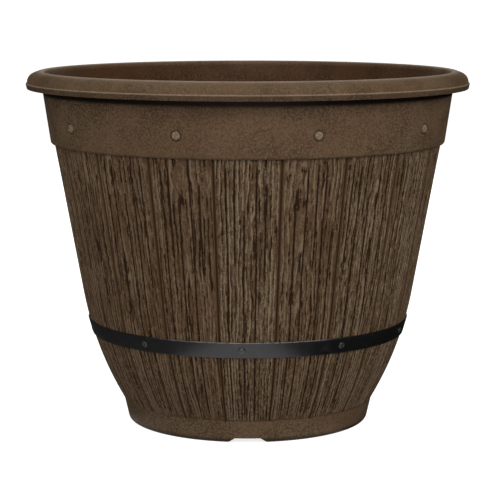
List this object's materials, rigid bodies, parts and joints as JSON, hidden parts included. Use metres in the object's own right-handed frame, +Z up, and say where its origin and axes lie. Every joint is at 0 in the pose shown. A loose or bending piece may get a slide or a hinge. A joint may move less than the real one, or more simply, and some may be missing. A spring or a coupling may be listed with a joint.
{
  "type": "round plant pot",
  "caption": "Round resin plant pot in half-barrel style: rolled rim, studded collar, tapered stave wall, riveted steel hoop, notched foot and drain holes with lift-out plugs.",
  "frame": {"origin": "centre of the foot ring on the ground, on the pot's axis", "axes": "+Z up along the pot's axis; the pictured front, with a drain notch in its middle, faces -Y"},
  "size_m": [0.3898, 0.3898, 0.3112],
  "materials": {
    "resin": "brown moulded resin, smooth rim and collar, deep wood grain on the staves",
    "stud": "brown resin, smooth dome",
    "hoop": "black satin paint",
    "rivet": "black satin paint, rubbed on the dome",
    "plug": "black matt rubber"
  },
  "bodies": {
    "pot": {"pot_shell": "resin", "collar_studs": "stud", "hoop_band": "hoop", "hoop_rivets": "rivet", "hoop_lap_rivets": "rivet"},
    "plug_front": {"drain_plug_front": "plug"},
    "plug_right": {"drain_plug_right": "plug"},
    "plug_back": {"drain_plug_back": "plug"},
    "plug_left": {"drain_plug_left": "plug"}
  },
  "joints": [
    {"name": "plug_front_lift", "type": "slide", "parent": "pot", "child": "plug_front", "axis": [0, 0, 1], "range_m": [0, 0.32]},
    {"name": "plug_right_lift", "type": "slide", "parent": "pot", "child": "plug_right", "axis": [0, 0, 1], "range_m": [0, 0.32]},
    {"name": "plug_back_lift", "type": "slide", "parent": "pot", "child": "plug_back", "axis": [0, 0, 1], "range_m": [0, 0.32]},
    {"name": "plug_left_lift", "type": "slide", "parent": "pot", "child": "plug_left", "axis": [0, 0, 1], "range_m": [0, 0.32]}
  ]
}
